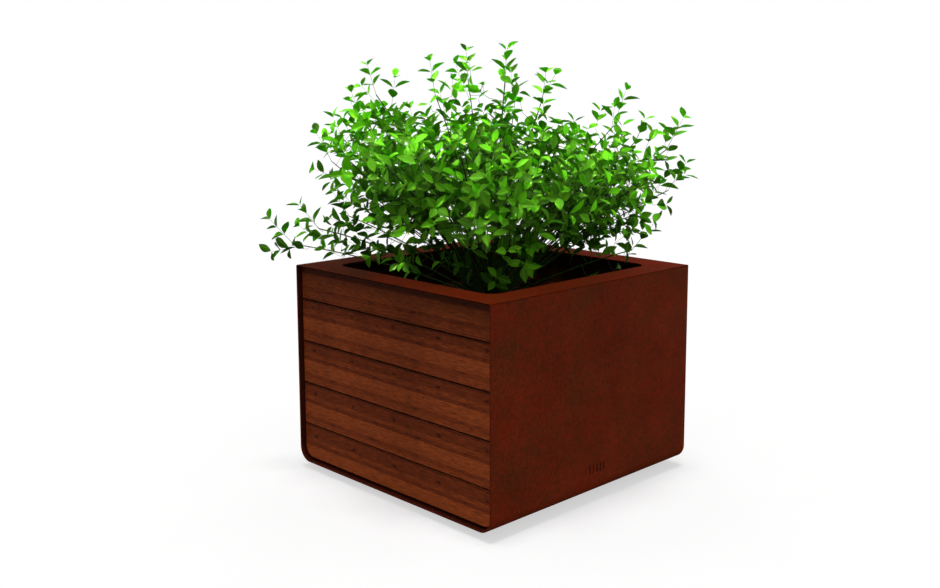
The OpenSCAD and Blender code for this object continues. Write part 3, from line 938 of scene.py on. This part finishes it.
def leaf_pair(leaves, rng, point, ahead, turn, size):
    """Two opposite leaves at one place of a twig. Each looks along the twig with its upper face."""
    out = beside(ahead, turn)
    for way in (-1, 1):
        rise = rng.uniform(0.35, 1.1)
        aim = (ahead * rise + way * out + 0.2 * any_way(rng)).normalized()
        face = (ahead - way * rise * out + 0.3 * UP + 0.55 * any_way(rng)).normalized()
        if abs(face.dot(aim)) > 0.94:
            face = (face + ahead).normalized()
        scale = size * rng.uniform(0.76, 1.12)
        wide = LEAF_WIDE * scale * rng.uniform(0.88, 1.12)
        leaves.add(point + aim * 1.5 * MM, aim, face, LEAF_LONG * scale, wide,
                   LEAF_TURN * rng.uniform(0.4, 1.6), rng.uniform(0.0, 0.2), leaf_painted_light_and_tone(rng, point))


def make_twig(twigs, leaves, rng, here, elbow, end, thick):
    """A thin twig with an elbow in it. Leaf pairs sit along its outer part, the last at its end."""
    if not (has_room(elbow) and has_room(end)):
        return
    tube(*twigs, [here, elbow, end], [thick, thick * 0.85, thick * 0.55], 4)
    ahead = (end - elbow).normalized()
    long = (end - elbow).length
    turn = rng.uniform(0, math.tau)
    for n in range(1 + int(long / PAIR_STEP)):
        size = 0.84 + 0.13 * min(n, 2)
        leaf_pair(leaves, rng, end - ahead * (n * PAIR_STEP), ahead, turn + n * math.pi / 2, size)


def make_shoot(canes, twigs, leaves, rng, foot, tip, bare, tall):
    """A cane from the collar, with a twig that turns up at its end and side twigs all round it."""
    crown_long = rng.uniform(0.08, 0.12) if tall else rng.uniform(0.05, 0.09)
    lean = (tip - foot).normalized()
    end = tip - (lean * 0.6 + UP * 0.4).normalized() * crown_long
    long = (end - foot).length
    bend = (foot + end) / 2 + UP * (0.07 * long) + 0.035 * long * any_way(rng)
    count = 8
    thick = rng.uniform(2.0, 2.8) * MM
    path = [on_curve(foot, bend, end, i / (count - 1))[0] for i in range(count)]
    tube(*canes, path, [thick * (1 - 0.3 * i / (count - 1)) for i in range(count)], 6)
    make_twig(twigs, leaves, rng, end, end.lerp(tip, 0.2), tip, 0.9 * MM)
    turn = rng.uniform(0, math.tau)
    at = bare
    while at < 1.0:
        here, ahead = on_curve(foot, bend, end, at)
        turn += 2.4 + rng.uniform(-0.3, 0.3)
        out = beside(ahead, turn)
        reach = rng.uniform(0.022, 0.055) if tall else rng.uniform(0.025, 0.075)
        elbow = here + (out + ahead * rng.uniform(-0.1, 0.5)).normalized() * reach
        rise = (ahead * rng.uniform(0.3, 1.0) + out * rng.uniform(0.0, 0.7) + UP * rng.uniform(-0.2, 0.6)
                + 0.3 * any_way(rng)).normalized()
        make_twig(twigs, leaves, rng, here, elbow, elbow + rise * rng.uniform(0.025, 0.085), 0.75 * MM)
        at += rng.uniform(0.024, 0.04) / long


def make_shrub():
    """The leaders and the shoots of the crown, its skirt and its low middle, in groups of leaf sprays."""
    rng = random.Random(4)
    canes, twigs = ([], []), ([], [])
    groups = []
    tips = [(ACROSS * u + AWAY * w + UP * z, True, 0.0) for u, w, z in LEADERS]
    for k in range(TOP_SHOOTS + SKIRT_SHOOTS + LOW_SHOOTS):
        turn = k * GOLDEN_TURN
        bare_more = 0.0
        if k < TOP_SHOOTS:
            flat = CROWN_R * math.sqrt((k + 0.5) / TOP_SHOOTS)
            high = CROWN_TOP - CROWN_FALL * (flat / CROWN_R) ** 2 - abs(rng.gauss(0, 0.05))
            high -= CROWN_TILT * flat * math.cos(turn - math.pi / 4)
        elif k < TOP_SHOOTS + SKIRT_SHOOTS:
            flat, high = CROWN_R * rng.uniform(0.8, 1.0), rng.uniform(0.86, 1.04)
        else:
            flat, high = rng.uniform(0.2, 0.36), rng.uniform(0.76, 0.87)
            bare_more = 0.25
        tips.append((Vector((flat * math.cos(turn), flat * math.sin(turn), high)), False, bare_more))
    base_z = COLLAR_HI.z - 4 * MM
    for first in range(0, len(tips), SHOOTS_PER_SPRAY):
        leaves = Leaves()
        for tip, tall, bare_more in tips[first:first + SHOOTS_PER_SPRAY]:
            foot = Vector((tip.x, tip.y, 0)) * 0.05
            foot += Vector((rng.uniform(-6, 6) * MM, rng.uniform(-6, 6) * MM, base_z))
            slope = math.hypot(tip.x, tip.y) / (tip - foot).length
            bare = 0.3 + 0.28 * slope + rng.uniform(-0.05, 0.07) + bare_more
            make_shoot(canes, twigs, leaves, rng, foot, tip, bare, tall)
        groups.append(leaves)
    stems = from_lists("shrub_canes", *canes, STEM)
    side_twigs = from_lists("shrub_twigs", *twigs, TWIG)
    for piece, replaced in ((stems, "shrub_stems"), (side_twigs, None)):
        soften(piece, 60)
        belongs(piece, replaced, "shrub")
    for number, leaves in enumerate(groups, 1):
        belongs(leaves.build(f"leaf_spray_{number}", LEAF), "shrub_leaves", "shrub")


def make_collar():
    """The low woody mound that the stems rise from."""
    rings, sides = 7, 40
    rng = random.Random(9)
    verts, faces = [], []
    top, deep = COLLAR_HI.z, COLLAR_HI.z - COLLAR_LO.z + 4 * MM
    for i in range(1, rings + 1):
        for k in range(sides):
            turn = math.tau * k / sides
            radius = COLLAR_HI.x * i / rings * (1 + 0.05 * math.sin(5 * turn + i) * (i / rings))
            radius = min(radius, COLLAR_HI.x)
            z = top - deep * (i / rings) ** 2.2 + rng.uniform(-1, 1) * MM
            verts.append((radius * math.cos(turn), radius * math.sin(turn), z))
    verts.append((0, 0, top))
    for i in range(rings - 1):
        faces += between(i * sides, (i + 1) * sides, sides)
    centre = len(verts) - 1
    faces += [(k, (k + 1) % sides, centre) for k in range(sides)]
    low = len(verts)
    last = (rings - 1) * sides
    verts += [(verts[last + k][0], verts[last + k][1], COLLAR_LO.z - 3 * MM) for k in range(sides)]
    faces += between(last, low, sides)
    faces.append(cap(low, sides)[::-1])
    collar = from_lists("root_mound", verts, faces, ROOTS)
    face_outward(collar)
    soften(collar, 60)
    belongs(collar, "root_collar")


# -------------------- CAD nodes that stay

def dress(node, material, bevel=0.0):
    """Gives a CAD node its material, and rounds its edges a little where bevel is given."""
    piece = NODES[node]
    piece.data.materials.clear()
    piece.data.materials.append(material)
    if bevel:
        weld = piece.modifiers.new("weld", "WELD")
        weld.merge_threshold = 0.01 * MM
        edge = piece.modifiers.new("edge", "BEVEL")
        edge.width = bevel
        edge.segments = 2
        edge.limit_method = "ANGLE"
        edge.angle_limit = math.radians(35)
        edge.harden_normals = True


def dress_frame():
    """The materials of the CAD nodes that no new piece replaces."""
    for side in ("front", "back"):
        # The end panels behind the boards get the darker steel, as painted shade.
        dress(f"{side}_end_panel", RUST_PAINTED_SHADE)
        dress(f"{side}_board_screws", ZINC)
        for place_name in ("left", "middle", "right"):
            dress(f"{side}_rail_{place_name}", BLACK_METAL)
    dress("rail_bolts", ZINC)
    dress("bearer_left", BLACK_METAL, 0.8 * MM)
    dress("bearer_right", BLACK_METAL, 0.8 * MM)
    dress("liner_tub", LINER)
    dress("drain_spouts", BLACK_PLASTIC, 0.5 * MM)
    dress("drainage_gravel", GRAVEL)
    dress("root_ball", ROOTS)
    for number in range(1, 5):
        dress(f"foot_boss_{number}", ZINC, 0.6 * MM)
        dress(f"foot_spindle_{number}", ZINC, 0.4 * MM)
        dress(f"foot_pad_{number}", BLACK_METAL, 1.2 * MM)


# -------------------- stage

# What the surroundings and the floor are to the camera, and to the light that bounces about
ROOM_SEEN, ROOM_LIGHT = 1.0, 0.4
FLOOR_SEEN, FLOOR_LIGHT, FLOOR_GLOW = 0.5, 0.15, 0.57
# Lamps round the shell, as (power, towards), and on each board side, as (name, power, lean, softness)
SIDE_LAMPS = ((2.3, 0), (1.6, 90), (2.3, 180), (1.2, 270))
BOARD_LAMPS = (("wide", 0.8, 35, 40), ("wash", 4.8, 13, 20), ("graze", 10.0, 5, 12))
CAMERA_PLACE, CAMERA_DOWN, CAMERA_TURN = (2.5095, -2.4806, 1.2736), 8.02, 44.97
CAMERA_LENS, CAMERA_SHIFT = 42.25, (-0.031, -0.064)


def sun(name, power, lean, towards, softness):
    """A soft sun: it stands lean degrees off the vertical, towards a compass angle in the X-Y plane."""
    light = bpy.data.lights.new(name, "SUN")
    light.energy = power
    light.angle = math.radians(softness)
    lamp = in_scene(name, light)
    off, turn = math.radians(lean), math.radians(towards)
    up = Vector((math.sin(off) * math.cos(turn), math.sin(off) * math.sin(turn), math.cos(off)))
    lamp.rotation_mode = "QUATERNION"
    lamp.rotation_quaternion = up.to_track_quat("Z", "Y")
    return lamp


def choose(name, pieces, how):
    """A light-linking group of pieces that are all INCLUDEd or EXCLUDEd."""
    group = bpy.data.collections.new(name)
    for piece in pieces:
        group.objects.link(piece)
    for member in group.collection_objects:
        member.light_linking.link_state = how
    return group


def only_on(lamp, pieces, shaded_by=None):
    """The lamp lights only these pieces, and only shaded_by, where given, casts its shadows."""
    lamp.light_linking.receiver_collection = choose(f"{lamp.name}_on", pieces, "INCLUDE")
    if shaded_by is not None:
        lamp.light_linking.blocker_collection = choose(f"{lamp.name}_by", shaded_by, "INCLUDE")


def seen_only(owner, seen, other):
    """A value that is one thing to the camera and another to the light that bounces about."""
    ray = add(owner, "LightPath").outputs["Is Camera Ray"]
    return add(owner, "MapRange", {"Value": ray, "To Min": other, "To Max": seen}).outputs["Result"]


def make_stage():
    """Pale floor, white surroundings, soft light on each group of pieces, and the camera."""
    floor = block("floor", (-40, -40, -0.02), (40, 40, 0), floor_material())
    LIT["floor"].append(floor)

    world = bpy.data.worlds.new("white_room")
    world.use_nodes = True
    room = world.node_tree.nodes["Background"].inputs
    room["Color"].default_value = (1, 1, 1, 1)
    give(world, room["Strength"], seen_only(world, ROOM_SEEN, ROOM_LIGHT))
    bpy.context.scene.world = world

    for number, (power, turn) in enumerate(SIDE_LAMPS):
        only_on(sun(f"side_{number}", power, 78, turn, 30), LIT["shell"])
    for side, turn in (("front", 270), ("back", 90)):
        for part, power, lean, softness in BOARD_LAMPS:
            only_on(sun(f"{side}_{part}", power, lean, turn, softness), LIT["boards"])
    only_on(sun("under", 1.6, 180, 0, 90), LIT["shell"], LIT["shell"])
    only_on(sun("rim_light", 1.7, 0, 0, 20), LIT["rim"], LIT["rim"])
    only_on(sun("floor_light", 1.6, 0, 0, 12), LIT["floor"])
    only_on(sun("crown_sky", 3.7, 0, 0, 150), LIT["shrub"])
    only_on(sun("crown_floor", 0.5, 180, 0, 150), LIT["shrub"], LIT["shrub"] + LIT["shell"])
    key = sun("key", 9.8, 24, 225, 10)
    special = [piece for group in ("boards", "shell", "rim", "floor") for piece in LIT[group]]
    key.light_linking.receiver_collection = choose("key_on", special, "EXCLUDE")

    camera = in_scene("camera", bpy.data.cameras.new("camera"))
    camera.data.sensor_width = 36
    camera.data.lens = CAMERA_LENS
    camera.data.shift_x, camera.data.shift_y = CAMERA_SHIFT
    camera.location = CAMERA_PLACE
    camera.rotation_euler = (math.radians(90 - CAMERA_DOWN), 0, math.radians(CAMERA_TURN))
    camera.data.clip_end = 200
    bpy.context.scene.camera = camera
    bpy.context.scene.view_settings.view_transform = "Standard"


def floor_material():
    """The pale floor, which glows to the camera alone."""
    mat, shader = new_material("pale_floor")
    cloudy = ramp(mat, noise(mat, 3, 2, 0.5), (0.3, 0.98), (0.7, 1.0))
    grey = seen_only(mat, FLOOR_SEEN, FLOOR_LIGHT)
    coat(mat, shader, tint(mat, cloudy, grey), 1.0, 0.0)
    shader.inputs["Emission Color"].default_value = (1, 1, 1, 1)
    give(mat, shader.inputs["Emission Strength"], seen_only(mat, FLOOR_GLOW, 0.0))
    return mat


make_shell()
make_mark()
make_rim()
for board_number in range(1, BOARD_COUNT + 1):
    make_board("front", board_number)
    make_board("back", board_number)
ground_height = make_soil()
make_chips(ground_height)
make_fleece()
make_collar()
make_shrub()
dress_frame()
make_stage()

bpy.context.view_layer.update()
